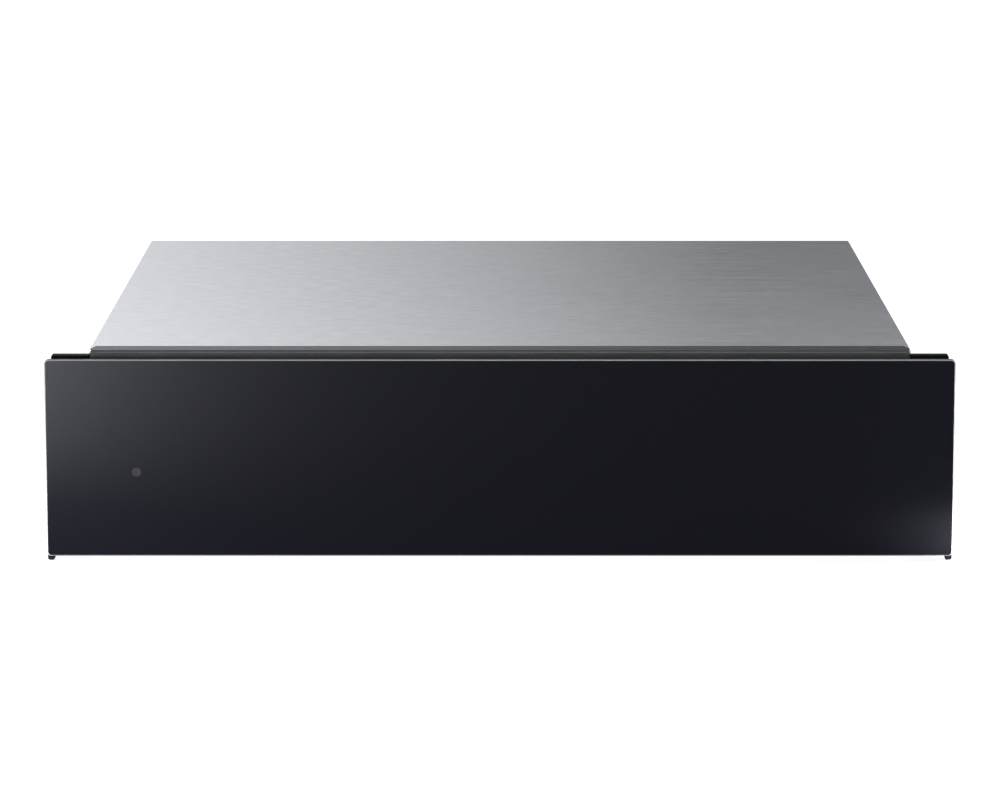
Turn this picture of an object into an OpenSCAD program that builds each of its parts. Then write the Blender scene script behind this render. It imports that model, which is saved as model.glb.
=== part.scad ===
// Built-in warming drawer with a push-to-open glass front.
// Millimetres. +Z is up, the glass faces -Y, and the origin is under the middle of the whole
// object. Inside the modules y is the depth behind the face of the glass.

/* [Overall] */
// Width of the glass front
front_w = 595; // [480:1:720]
// Height from the feet to the top cover
unit_h = 140; // [125:1:190]
// Depth from the face of the glass to the back of the casing
unit_d = 550; // [450:1:680]

/* [Glass front] */
// Thickness of the glass
glass_t = 4; // [3:0.5:6]
// Step from the top cover down to the top of the glass
glass_top_gap = 4.7; // [2:0.1:10]
// Clearance under the glass
glass_bottom_gap = 4.7; // [4:0.1:10]
// Radius of the corners of the glass
glass_corner_r = 3; // [1:0.5:8]
// Width of the ground edge round the face of the glass
glass_edge = 0.7; // [0.3:0.1:1.5]
// Travel of the front when it is pushed to release the latch
press_travel = 3; // [2:0.5:4]
// Height of the indicator light above the feet
light_z = 60.8; // [40:0.1:90]
// Distance of the indicator light from the left edge of the glass
light_inset = 59.5; // [40:0.5:120]

/* [Casing] */
// Distance of the casing side from the edge of the glass
casing_inset = 28.25; // [20:0.25:60]
// Thickness of the side, rear and cover sheets
sheet_t = 0.8; // [0.6:0.1:1.2]
// Thickness of the base pan, the flanges and the drawer's shell
base_t = 1; // [0.8:0.1:1.5]
// Height of the feet
foot_h = 3; // [2:0.5:6]
// Depth of the front edge of the top cover
cover_y = 28; // [22:1:40]
// Height of the cover's side hems
hem_h = 12; // [8:1:20]
// Depth of the sheet flanges that are folded inwards
fold_w = 12; // [8:1:16]
// Height of the front rail above the drawer's mouth
rail_h = 11; // [9:0.5:14]
// Thickness of the front rail and the fixing flanges
rail_t = 1.2; // [1:0.1:2]
// Radius of the fold along the top of the front rail
rail_fold_r = 2.5; // [1.5:0.1:4]
// Depth of the returns round the fixing flanges
flange_return = 7.8; // [5:0.1:10]
// Radius of the holes that fix the flanges to the furniture
fixing_hole_r = 2.25; // [1.5:0.05:3]
// Distance of the fixing holes from the edge of the glass
fixing_inset = 11.5; // [9:0.5:16]

/* [Drawer] */
// Space between the drawer's back and the casing's back
rear_space = 65; // [60:1:90]
// Depth of the hollow carrier behind the glass
carrier_d = 18; // [16:1:30]
// Height of the drawer shell's floor
shell_z = 14; // [13:0.5:20]
// Space for the fan behind the tub
fan_space = 63; // [60:1:90]
// Distance from the tub's inner wall to the outside of its rim
rim_w = 14; // [12:0.5:25]
// Distance of the tub's inner wall from the shell
tub_side_gap = 28; // [22:1:60]
// Height of the tub's floor above the shell's floor
tub_floor_rise = 22; // [16:1:40]
// Radius of the tub's upright corners
tub_corner_r = 28; // [18:1:50]
// Radius between the tub's walls and floor
tub_floor_r = 10; // [4:1:15]
// Diameter of the selector knob
knob_d = 34; // [26:1:42]

/* [Ball slides] */
// Thickness of a closed slide
slide_t = 12.7; // [12.7:0.1:15.5]
// Height of the slides' centre line
slide_z = 60; // [50:1:75]
// Thickness of the rails
rail_sheet = 1; // [0.8:0.05:1.1]
// Radius of the balls
ball_r = 2; // [1.8:0.05:2.1]
// Clearance between a ball and its raceway
ball_gap = 0.08; // [0.03:0.01:0.1]
// Number of balls in each row
ball_count = 10; // [6:1:12]
// Length of a ball cage
cage_len = 200; // [160:5:210]

/* [Hidden] */
$fn = 48;

// Casing
cut = 1;                                   // how far a cut runs past a face
half_front = front_w / 2;
casing_half = half_front - casing_inset;   // outside of the cover's hems
side_out = casing_half - sheet_t;          // outside of the side panels
side_in = side_out - sheet_t;              // inside of the side panels
cover_under = unit_h - sheet_t;
base_top = foot_h + base_t;
rear_y = unit_d - 5;                       // inner face of the rear panel
rear_out = rear_y + sheet_t;
front_play = 0.3;                          // gap that is left when the front is pushed in
carrier_t = 1.2;                           // skin of the carrier behind the glass
flange_y = glass_t + carrier_t + press_travel + front_play;
fold_r = 1.2;                              // outer radius of the cover's folds
fold_in = fold_r - sheet_t;
hem_y = cover_y - 11.7;                    // front end of the cover's side hems
ear_w = 3.85;                              // width of the cover's pointed ears
rail_seam = 0.5;                           // gap between the front rail and the cover
rail_back = cover_y - rail_seam;
rail_bottom = unit_h - rail_h;
rail_lip = 7;                              // strip behind the front rail's underside that stays open
tongue_d = 20;                             // reach of the front rail under the cover
tongue_inset = 6;
tongue_root = 5;
rear_screw_z = [30, 110];
fold_relief = 4;                           // gap between the folded flanges at a corner
flange_half = half_front - 3.9;
flange_top = unit_h - 3.1;
flange_corner_r = 1.2;
tab_end = 20;                              // distance of the flange's tab from top and bottom
tab_d = 18;
flange_bottom = glass_bottom_gap;
flange_back = flange_y + flange_return;
fixing_x = half_front - fixing_inset;
fixing_end = 32;                           // distance of the fixing holes from top and bottom
screw_r = 1.5;
screw_hole_r = 1.6;
head_r = 3.2;
head_h = 1.8;
recess_r = 0.7 * screw_r;
recess_floor = 0.4 * head_h;
side_screw_len = 6;
rear_screw_len = 7;
long_screw_len = 8;
cover_screw_y = [70, unit_d / 2, unit_d - 40];
base_screw_at = [-0.8, -0.25, 0.25, 0.8];
base_screw_z = foot_h + 10;
pan_gap = 1.5;                             // step from the lower rail back to the base pan
pan_flange_h = 16;
skim = 0.01;                               // keeps two faces from lying in one plane
swages = [-0.67, -0.34, 0.34, 0.67];       // places of the base pan's stiffening swages
swage_h = 2.5;
swage_half = 11;
swage_top_half = 7;
swage_y0 = 60;
swage_y1 = rear_y - 30;
gland_x = -0.7 * side_in;
gland_z = 40;
gland_hole_r = 8;
cord_r = 3.6;
vent_groups = [-0.42, 0.42, 0.75];         // places of the rear panel's vents
vent_r = 2;
vent_pitch = 8;
rear_vent_z = [88, 116];
base_vent_y = [rear_y - 50, rear_y - 20];
side_vent_y = rear_y - 24;
side_vent_pitch = 9;
side_vent_z = [unit_h - 50, unit_h - 22];
foot_r = 13;
foot_top_r = 11;
foot_screw_r = 5;
foot_at = 0.82;                            // share of the casing's half width
foot_y = [55, rear_y - 20];

// Drawer
carrier_y = glass_t + carrier_t;
carrier_back_y = glass_t + carrier_d;
shell_y = carrier_back_y + sheet_t;        // front of the drawer's shell
shell_back = unit_d - rear_space - 5;      // back of the drawer's shell
shell_half = side_in - slide_t;
shell_in = shell_half - base_t;
shell_top = unit_h - 19;
glass_top = unit_h - glass_top_gap;
carrier_half = side_in - 5.65;
carrier_top = rail_bottom - 1;
carrier_low = foot_h + 7.5;
carrier_wall = 2;
carrier_r = 4;
rib_half = 0.8;
boss_r = 4;
boss_inset = 12;
bond = 0.1;                                // overlap of shapes that are one piece
rim_top = shell_top + sheet_t;
dish_wall = 2;
dish_r = knob_d / 2 + 4;
ledge_d = 2 * (dish_r + dish_wall) + 1.2;  // control ledge between the carrier and the tub
tub_y = shell_y + ledge_d + rim_w;         // inside of the tub's front wall
tub_end = shell_back - fan_space - rim_w;  // inside of the tub's rear wall
tub_half = shell_in - tub_side_gap;
tub_floor = shell_z + tub_floor_rise;
tub_t = 0.8;
rim_front = tub_y - rim_w;
rim_back = tub_end + rim_w;
hole_r = 2.4;                              // holes of the round grille behind the tub
hole_pitch = 7.5;
air_slot_r = 2.5;
air_slot_pitch = 9;
mat_t = 2;
mat_hole_r = 6;
mat_pitch = 28;
heater_t = 2;
light_x = light_inset - half_front;
light_r = 2.9;
light_hole_r = 3;
board_y = carrier_y + 8.8;
board_posts = [-9, 9];
post_r = 3;
board_t = 1.6;
board_screw_r = 1;
board_screw_len = 5;
led_len = 1.5;
trim_in = half_front - 3.4;
trim_out = half_front - 0.2;
trim_top = glass_top - 3.3;
trim_low = glass_bottom_gap - 3.4;
heater_half = tub_half - 26;
cutout_y = (tub_y + tub_end) / 2;
cutout_r = 8;
cutout_play = 2;

// Selector
knob_x = 55 - shell_half;
knob_y = (shell_y + rim_front) / 2;
dish_depth = 5;
ledge_t = 2;
dish_floor = rim_top - dish_depth - ledge_t;
knob_low = dish_floor + ledge_t + 0.5;
knob_top = carrier_top - 0.7;
shaft_r = 3;
shaft_low = dish_floor - 12;
bush_r = 5;

// Fan
fan_z = (shell_z + shell_top) / 2 + 3;
fan_r = 36;
fan_shaft_r = 2;
fan_y = tub_end + 7;
stator_y = fan_y + 32;
stator_d = 18;
bell_t = 2;
rotor_r = 11.5;
stand_x = 18;                              // places of the studs that carry the motor
stand_r = 3.5;
bracket_t = 1.2;

// Latch
striker_t = 1.2;
striker_rivet_r = 1.6;
striker_rivet_x = 11;
magnet_y = shell_back + striker_t + 0.05;
magnet_t = 2.5;
magnet_r = 8;
head_t = 3.5;
head_y = magnet_y + magnet_t;
housing_y = head_y + head_t + press_travel + 0.8;
housing_half = 20;
latch_ear_x = housing_half + 8;
ear_t = 4;
housing_h = 16;
chamber_r = 8;
chamber_y = housing_y + 3.5;
chamber_end = rear_y - 3.5;
rod_r = 4;
collar_t = 3;
collar_y = chamber_end - 15.5;
spring_turns = 7;
spring_steps = 12;
spring_wire_r = 0.5;
spring_r = 6.2;

// Ball slides: u runs from the side panel to the drawer, v up from the centre line
slide_y = 30;
race_r = ball_r + ball_gap;
outer_u = 4.9;
outer_v = 18.6;
inner_u = 8.6;
inner_v = outer_v - 2 * race_r - rail_sheet;
cage_t = 0.4;
inner_cage_u = 3.1;
cage_y = slide_y + 110;
cage_end = 6;                              // from the end of a cage to its first ball
rivet_r = 2.2;
rivet_head_r = 4;
rivet_head_t = 1;
rivet_at = [0.08, 0.36, 0.64, 0.92];

// Helpers -------------------------------------------------------------------------------------

module in_place() translate([0, -unit_d / 2, 0]) children();

module on_side(side) {
    if (side > 0) children();
    else mirror([1, 0, 0]) children();
}

module both_sides() {
    children();
    mirror([1, 0, 0]) children();
}

// A box from its lowest corner to its highest one
module block(from, to) translate(from) cube(to - from);

// A drawing in x and z, drawn out along the depth
module along_y(y0, y1) translate([0, y1, 0]) rotate([90, 0, 0]) linear_extrude(y1 - y0) children();

// A drawing in depth and z, drawn out along the width
module along_x(x0, x1) translate([x0, 0, 0]) rotate([90, 0, 90]) linear_extrude(x1 - x0) children();

// A drawing in x and depth, drawn out upwards
module along_z(z0, z1) translate([0, 0, z0]) linear_extrude(z1 - z0) children();

// A rod along the depth
module rod_y(x, z, r, y0, y1) translate([x, y0, z]) rotate([-90, 0, 0]) cylinder(r = r, h = y1 - y0);

// A rod along the width
module rod_x(y, z, r, x0, x1) translate([x0, y, z]) rotate([0, 90, 0]) cylinder(r = r, h = x1 - x0);

module round_rect(x0, z0, x1, z1, r) {
    translate([x0 + r, z0]) square([x1 - x0 - 2 * r, z1 - z0]);
    translate([x0, z0 + r]) square([x1 - x0, z1 - z0 - 2 * r]);
    for (x = [x0 + r, x1 - r], z = [z0 + r, z1 - r]) translate([x, z]) circle(r);
}

// A slot with round ends, drawn upright
module slot_shape(x, z0, z1, r) {
    translate([x - r, z0 + r]) square([2 * r, z1 - z0 - 2 * r]);
    for (z = [z0 + r, z1 - r]) translate([x, z]) circle(r);
}

// Stretch of a round raceway of sheet, from angle a0 to a1
module race(u, v, a0, a1) {
    reach = 2 * race_r + 2 * rail_sheet;
    mid = (a0 + a1) / 2;
    translate([u, v]) intersection() {
        difference() {
            circle(race_r + rail_sheet);
            circle(race_r);
        }
        polygon([[0, 0], reach * [cos(a0), sin(a0)], reach * [cos(mid), sin(mid)],
                 reach * [cos(a1), sin(a1)]]);
    }
}

module screw_y(x, z, y_head, len) {
    rod_y(x, z, screw_r, y_head - len, y_head);
    difference() {
        rod_y(x, z, head_r, y_head, y_head + head_h);
        rod_y(x, z, recess_r, y_head + recess_floor, y_head + head_h + cut);
    }
}

// Casing --------------------------------------------------------------------------------------

// The outline of the cover with its folds, or of the space under it
module cover_outline(half, top, bottom, r) {
    translate([-half, bottom]) square([2 * half, top - r - bottom]);
    translate([r - half, bottom]) square([2 * (half - r), top - bottom]);
    for (s = [-1, 1]) translate([s * (half - r), top - r]) circle(r);
}

module cover_screw_places() {
    for (y = cover_screw_y) translate([0, y, unit_h - hem_h / 2 - 1]) children();
}

// Side view of the hem that is folded down along the back of the cover
module rear_hem() {
    translate([unit_d - fold_r - cut, cover_under]) square([cut, sheet_t]);
    translate([unit_d - sheet_t, unit_h - hem_h]) square([sheet_t, hem_h - fold_r]);
    translate([unit_d - fold_r, unit_h - fold_r]) intersection() {
        difference() {
            circle(fold_r);
            circle(fold_in);
        }
        square(fold_r);
    }
}

module top_cover() color("silver") in_place() {
    difference() {
        along_y(hem_y, unit_d - fold_r) difference() {
            cover_outline(casing_half, unit_h, unit_h - hem_h, fold_r);
            cover_outline(side_out, cover_under, unit_h - hem_h - cut, fold_in);
        }
        along_z(unit_h - 2 * fold_r, unit_h + cut) polygon([
            [ear_w - casing_half, cover_y], [casing_half - ear_w, cover_y],
            [side_out, hem_y], [side_out, hem_y - cut], [-side_out, hem_y - cut], [-side_out, hem_y]
        ]);
        both_sides() cover_screw_places() rod_x(0, 0, screw_hole_r, side_out - cut, casing_half + cut);
    }
    along_x(fold_r - side_out, side_out - fold_r) rear_hem();
}

module front_rail() color([0.3, 0.3, 0.31]) in_place() difference() {
    union() {
        along_x(-side_in, side_in) difference() {
            rail_outline(flange_y, rail_back, unit_h, rail_fold_r);
            difference() {
                rail_outline(flange_y + rail_t, rail_back + cut, unit_h - rail_t, rail_fold_r - rail_t);
                translate([flange_y, rail_bottom - cut]) square([rail_back, cut + rail_t]);
            }
            translate([rail_back - rail_lip, rail_bottom - cut]) square([rail_lip + cut, 2 * cut + rail_t]);
        }
        block([-side_in + fold_w + tongue_inset, rail_back - tongue_root, cover_under - rail_t],
              [side_in - fold_w - tongue_inset, rail_back + tongue_d, cover_under]);
    }
    both_sides() along_z(unit_h - 2 * rail_t, unit_h + cut) polygon([
        [casing_half - ear_w - rail_seam, cover_y], [side_out - rail_seam, hem_y],
        [side_out + cut, hem_y], [side_out + cut, cover_y]
    ]);
}

// Side view of the front rail's outline, or of its inside, with the round fold at its upper front
module rail_outline(y, back, top, r) {
    translate([y + r, rail_bottom]) square([back - y - r, top - rail_bottom]);
    translate([y, rail_bottom]) square([2 * r, top - r - rail_bottom]);
    translate([y + r, top - r]) circle(r);
}

module rivet_places() {
    for (at = rivet_at) translate([0, slide_y + at * (shell_back - slide_y), slide_z]) children();
}

module rear_screw_places() {
    for (z = rear_screw_z) translate([side_in - fold_w / 2, 0, z]) children();
}

module side_panel() {
    difference() {
        union() {
            block([side_in, hem_y, base_top], [side_out, rear_out, cover_under - fold_in]);
            block([side_in - fold_w, cover_y, cover_under - sheet_t],
                  [side_out - fold_in, rear_y, cover_under]);
            block([side_in - fold_w, 2 * cover_y, base_top], [side_out, rear_y, base_top + sheet_t]);
            block([side_in - fold_w, rear_y - sheet_t, base_top + fold_relief],
                  [side_out, rear_y, cover_under - fold_relief]);
        }
        rivet_places() rod_x(0, 0, rivet_r, side_in - cut, side_out + cut);
        cover_screw_places() rod_x(0, 0, screw_hole_r, side_in - cut, side_out + cut);
        rear_screw_places() rod_y(0, 0, screw_hole_r, rear_y - sheet_t - cut, rear_y + cut);
        along_x(side_in - cut, side_out + cut) for (i = [0:5])
            slot_shape(side_vent_y - side_vent_pitch * i, side_vent_z[0], side_vent_z[1], vent_r);
    }
}

module side_panel_left() color("gainsboro") in_place() on_side(-1) side_panel();
module side_panel_right() color("gainsboro") in_place() on_side(1) side_panel();

module swage_outline(x, low, shrink) {
    polygon([[x - swage_half + shrink, low], [x + swage_half - shrink, low],
             [x + swage_top_half - shrink, low + swage_h], [x - swage_top_half + shrink, low + swage_h]]);
}

module base_pan() color("lightgray") in_place() difference() {
    union() {
        block([-side_in, flange_y + pan_gap, foot_h], [side_in, rear_out + base_t, base_top]);
        block([-side_in + fold_w, rear_out, foot_h],
              [side_in - fold_w, rear_out + base_t, foot_h + pan_flange_h]);
        for (s = swages) along_y(swage_y0, swage_y1) swage_outline(s * side_in, base_top, 0);
    }
    for (s = swages) along_y(swage_y0 + base_t, swage_y1 - base_t)
        swage_outline(s * side_in, foot_h - skim, base_t / 2);
    base_screw_places() rod_y(0, 0, screw_hole_r, rear_out - cut, rear_out + base_t + cut);
    along_z(foot_h - cut, base_top + cut) for (i = [-5:5])
        slot_shape(vent_pitch * i, base_vent_y[0], base_vent_y[1], vent_r);
}

module base_screw_places() {
    for (at = base_screw_at) translate([at * side_in, 0, base_screw_z]) children();
}

module feet() color([0.12, 0.12, 0.12]) in_place() {
    for (s = [-1, 1], y = foot_y) translate([s * foot_at * side_in, y, 0]) difference() {
        union() {
            cylinder(r = foot_r, h = foot_h / 2);
            translate([0, 0, foot_h / 2]) cylinder(r1 = foot_r, r2 = foot_top_r, h = foot_h / 2);
        }
        translate([0, 0, -cut]) cylinder(r = foot_screw_r, h = cut + foot_h / 3);
    }
}

module rear_panel() color("lightgray") in_place() difference() {
    block([-side_in, rear_y, base_top], [side_in, rear_out, cover_under - sheet_t]);
    base_screw_places() rod_y(0, 0, screw_hole_r, rear_y - cut, rear_out + cut);
    both_sides() rear_screw_places() rod_y(0, 0, screw_hole_r, rear_y - cut, rear_out + cut);
    rod_y(gland_x, gland_z, gland_hole_r, rear_y - cut, rear_out + cut);
    both_sides() rod_y(latch_ear_x, slide_z, screw_hole_r, rear_y - cut, rear_out + cut);
    along_y(rear_y - cut, rear_out + cut) for (at = vent_groups, i = [-4:4])
        slot_shape(at * side_in + vent_pitch * i, rear_vent_z[0], rear_vent_z[1], vent_r);
}

module lower_rail() color([0.1, 0.1, 0.1]) in_place() {
    lift = 0.3;
    lip_h = 6.2;
    reach = cover_y - flange_y - 4;
    along_x(-side_in, side_in) {
        translate([flange_y, foot_h + lift]) square([base_t, lip_h]);
        translate([flange_y, base_top]) square([reach, base_t]);
    }
}

module mounting_flange() difference() {
    union() {
        difference() {
            along_y(flange_y, flange_back)
                round_rect(side_out, flange_bottom, flange_half, flange_top, flange_corner_r);
            block([side_out + rail_t, flange_y + rail_t, flange_bottom + rail_t],
                  [flange_half - rail_t, flange_back + cut, flange_top - rail_t]);
        }
        block([side_out, flange_y + rail_t, tab_end],
              [side_out + rail_t, flange_back + tab_d, unit_h - tab_end]);
    }
    for (z = [fixing_end, unit_h - fixing_end])
        rod_y(fixing_x, z, fixing_hole_r, flange_y - cut, flange_y + rail_t + cut);
}

module mounting_flange_left() color([0.08, 0.08, 0.08]) in_place() on_side(-1) mounting_flange();
module mounting_flange_right() color([0.08, 0.08, 0.08]) in_place() on_side(1) mounting_flange();

module casing_screws() color("silver") in_place() {
    base_screw_places() screw_y(0, 0, rear_out + base_t, long_screw_len);
    both_sides() {
        cover_screw_places() screw_x(casing_half);
        rear_screw_places() screw_y(0, 0, rear_out, rear_screw_len);
        screw_y(latch_ear_x, slide_z, rear_out, rear_screw_len);
    }
}

module screw_x(x) {
    rod_x(0, 0, screw_r, x - side_screw_len, x);
    difference() {
        rod_x(0, 0, head_r, x, x + head_h);
        rod_x(0, 0, recess_r, x + recess_floor, x + head_h + cut);
    }
}

// Rivets through the fixed rail and the side panel, headed on the outside
module casing_rivets() color("silver") in_place() both_sides() rivet_places() {
    rod_x(0, 0, rivet_r, side_in - rail_sheet, side_out);
    rod_x(0, 0, rivet_head_r, side_out, casing_half);
}

module terminal_block() color("ivory") in_place() translate([gland_x + 55, 0, base_top]) {
    half_w = 24;
    high = 26;
    front = rear_y - 36;
    back = rear_y - 8;
    pitch = 16;
    clamp = 10;                            // side of the square opening of a clamp
    clamp_z = 8;
    clamp_d = 9;
    driver_r = 3;
    wire_r = 2.5;
    difference() {
        block([-half_w, front, 0], [half_w, back, high]);
        for (x = [-pitch, 0, pitch]) {
            block([x - clamp / 2, front - cut, clamp_z], [x + clamp / 2, front + clamp_d, clamp_z + clamp]);
            translate([x, front + 15, high / 2 + cut]) cylinder(r = driver_r, h = high / 2);
            rod_y(x, clamp_z + cut, wire_r, back - 6, back + cut);
        }
    }
}

module cord_gland() color([0.15, 0.15, 0.15]) in_place() {
    inner = rear_y - 8;
    outer = rear_out + 3.5;
    nut_t = 6;
    nut_r = 12;
    collar_r = 11;
    play = 0.1;
    difference() {
        union() {
            rod_y(gland_x, gland_z, gland_hole_r - play, inner, rear_out + cut);
            rod_y(gland_x, gland_z, collar_r, rear_out, outer);
            translate([gland_x, rear_y - nut_t, gland_z]) rotate([-90, 30, 0])
                cylinder(r = nut_r, h = nut_t, $fn = 6);
        }
        rod_y(gland_x, gland_z, cord_r, inner - cut, outer + cut);
    }
}

// Latch ---------------------------------------------------------------------------------------

module latch_housing() color([0.12, 0.12, 0.13]) in_place() {
    corner_r = 4;
    ear_half = latch_ear_x + 7;
    ear_h = 10;
    web_half = 1.5;
    web_d = 22;
    play = 0.05;
    pocket_d = 4;
    pocket_half = 8;
    difference() {
        union() {
            along_y(housing_y, rear_y)
                round_rect(-housing_half, slide_z - housing_h, housing_half, slide_z + housing_h, corner_r);
            along_y(rear_y - ear_t, rear_y)
                round_rect(-ear_half, slide_z - ear_h, ear_half, slide_z + ear_h, corner_r);
            both_sides() along_z(slide_z - web_half, slide_z + web_half) polygon([
                [housing_half - cut, rear_y - web_d], [housing_half - cut, rear_y - ear_t + cut],
                [housing_half + ear_t, rear_y - ear_t + cut]
            ]);
        }
        rod_y(0, slide_z, rod_r + play, housing_y - cut, chamber_y + cut);
        rod_y(0, slide_z, chamber_r, chamber_y, chamber_end);
        both_sides() {
            rod_y(latch_ear_x, slide_z, screw_hole_r, rear_y - ear_t - cut, rear_y + cut);
            block([housing_half - pocket_d, housing_y + 6, slide_z - pocket_half],
                  [housing_half + cut, rear_y - web_d - pocket_d, slide_z + pocket_half]);
        }
    }
}

module latch_plunger() color([0.85, 0.85, 0.82]) in_place() {
    magnet_plate_r = 10;
    collar_play = 0.2;
    rod_y(0, slide_z, magnet_plate_r, head_y, head_y + head_t);
    rod_y(0, slide_z, rod_r, head_y, collar_y + 2 * collar_t);
    rod_y(0, slide_z, chamber_r - collar_play, collar_y, collar_y + collar_t);
}

module latch_magnet() color([0.45, 0.45, 0.47]) in_place() rod_y(0, slide_z, magnet_r, magnet_y, head_y);

// One ring of the spring's wire, at the given share of its length
function spring_ring(share) = let (
    turn = 360 * spring_turns * share,
    y0 = collar_y + collar_t + spring_wire_r + 0.05,
    y1 = chamber_end - spring_wire_r - 0.05
) [for (i = [0:5]) let (r = spring_r + spring_wire_r * cos(60 * i))
    [r * cos(turn), y0 + (y1 - y0) * share + spring_wire_r * sin(60 * i), slide_z + r * sin(turn)]];

module latch_spring() color("silver") in_place() {
    rings = spring_turns * spring_steps;
    points = [for (k = [0:rings]) each spring_ring(k / rings)];
    sides = [for (k = [0:rings - 1], i = [0:5]) let (a = 6 * k + i, b = 6 * k + (i + 1) % 6)
        each [[a, a + 6, b], [b, a + 6, b + 6]]];
    first_end = [for (i = [1:4]) [0, i, i + 1]];
    last_end = [for (i = [1:4]) [6 * rings, 6 * rings + i + 1, 6 * rings + i]];
    polyhedron(points, concat(sides, first_end, last_end), convexity = 6);
}

// Drawer front ----------------------------------------------------------------------------------

module glass_front() color([0.03, 0.03, 0.035]) in_place() difference() {
    union() {
        x_mid = half_front - glass_corner_r;
        along_x(-x_mid, x_mid) translate([0, glass_bottom_gap])
            bevelled_outline(glass_top - glass_bottom_gap);
        z_low = glass_bottom_gap + glass_corner_r;
        z_high = glass_top - glass_corner_r;
        translate([0, 0, z_low]) linear_extrude(z_high - z_low) translate([-half_front, 0])
            mirror([1, -1]) bevelled_outline(front_w);
        for (x = [-x_mid, x_mid], z = [z_low, z_high]) {
            rod_y(x, z, glass_corner_r, glass_edge, glass_t);
            translate([x, 0, z]) rotate([-90, 0, 0])
                cylinder(r1 = glass_corner_r - glass_edge, r2 = glass_corner_r, h = glass_edge);
        }
    }
    rod_y(light_x, light_z, light_hole_r, -cut, glass_t + cut);
}

// Section of the glass, as deep as the glass and as long as given, bevelled at both ends of its face
module bevelled_outline(long) {
    polygon([[0, glass_edge], [glass_edge, 0], [glass_t, 0], [glass_t, long],
             [glass_edge, long], [0, long - glass_edge]]);
}

module screw_boss_places() {
    for (s = [-1, 1], z = [shell_z + 14, shell_top - 24])
        translate([s * (shell_in - boss_inset), 0, z]) children();
}

module front_carrier() color([0.07, 0.07, 0.07]) in_place() {
    skin_half = trim_in + 1.2;
    skin_margin = 1.3;
    skin_r = 1;
    rib_y = carrier_y - bond;
    cells = 5;                             // hollow cells on each side of the middle
    boss_d = 9;
    pilot_play = 0.1;
    pilot_d = 6;
    difference() {
        union() {
            along_y(glass_t, carrier_y)
                round_rect(-skin_half, glass_bottom_gap + skin_margin,
                           skin_half, glass_top - skin_margin, skin_r);
            along_y(rib_y, carrier_back_y) difference() {
                round_rect(-carrier_half, carrier_low, carrier_half, carrier_top, carrier_r);
                round_rect(carrier_wall - carrier_half, carrier_low + carrier_wall,
                           carrier_half - carrier_wall, carrier_top - carrier_wall, carrier_r - carrier_wall);
            }
            for (i = [1 - cells:cells - 1]) translate([i * carrier_half / cells, 0, 0])
                block([-rib_half, rib_y, carrier_low + carrier_wall / 2],
                      [rib_half, carrier_back_y, carrier_top - carrier_wall / 2]);
            screw_boss_places() rod_y(0, 0, boss_r, rib_y, carrier_back_y);
            for (z = board_posts) rod_y(light_x, light_z + z, post_r, rib_y, board_y);
        }
        screw_boss_places() rod_y(0, 0, screw_hole_r, carrier_back_y - boss_d, carrier_back_y + cut);
        for (z = board_posts)
            rod_y(light_x, light_z + z, board_screw_r + pilot_play, board_y - pilot_d, board_y + cut);
        rod_y(light_x, light_z, light_hole_r, glass_t - cut, carrier_y + cut);
    }
}

module carrier_back() color("lightgray") in_place() difference() {
    along_y(carrier_back_y, shell_y)
        round_rect(-carrier_half, carrier_low, carrier_half, carrier_top, carrier_r);
    screw_boss_places() rod_y(0, 0, screw_hole_r, carrier_back_y - cut, shell_y + cut);
}

module side_trim() {
    corner_r = 1;
    nub_r = 1.4;                           // round lower corners of the nub under the glass
    nub_over = 1.4;
    nub_gap = 0.5;
    skin_margin = 1.3;
    skin_over = 1.2;
    difference() {
        along_y(glass_t, flange_back - front_play) {
            round_rect(trim_in, trim_low + 0.8, trim_out, trim_top, corner_r);
            round_rect(trim_in - nub_over, trim_low, trim_out, glass_bottom_gap - nub_gap, nub_r);
        }
        block([trim_in - nub_over - cut, glass_t - cut, glass_bottom_gap + skin_margin],
              [trim_in + skin_over, carrier_y, glass_top]);
    }
}

module side_trim_left() color([0.07, 0.07, 0.07]) in_place() on_side(-1) side_trim();
module side_trim_right() color([0.07, 0.07, 0.07]) in_place() on_side(1) side_trim();

module light_guide() color([0.3, 0.3, 0.32]) in_place() {
    led_gap = 0.2;
    collar_r = 4.5;
    collar_t = 2;
    rod_y(light_x, light_z, light_r, 0, board_y - led_len - led_gap);
    rod_y(light_x, light_z, collar_r, carrier_y, carrier_y + collar_t);
}

module indicator_board() color("darkgreen") in_place() {
    half_w = 12;
    half_h = 15;
    led_r = 2.5;
    back = board_y + board_t;
    plug_half = 5;
    plug_d = 2.4;
    hole_r = board_screw_r + 0.6;
    difference() {
        union() {
            block([light_x - half_w, board_y, light_z - half_h], [light_x + half_w, back, light_z + half_h]);
            rod_y(light_x, light_z, led_r, board_y - led_len, board_y + bond);
            block([light_x - plug_half, back - bond, light_z - plug_half],
                  [light_x + plug_half, back + plug_d, light_z + cut]);
        }
        for (z = board_posts) rod_y(light_x, light_z + z, hole_r, board_y - cut, back + cut);
    }
}

// Drawer body -----------------------------------------------------------------------------------

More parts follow.
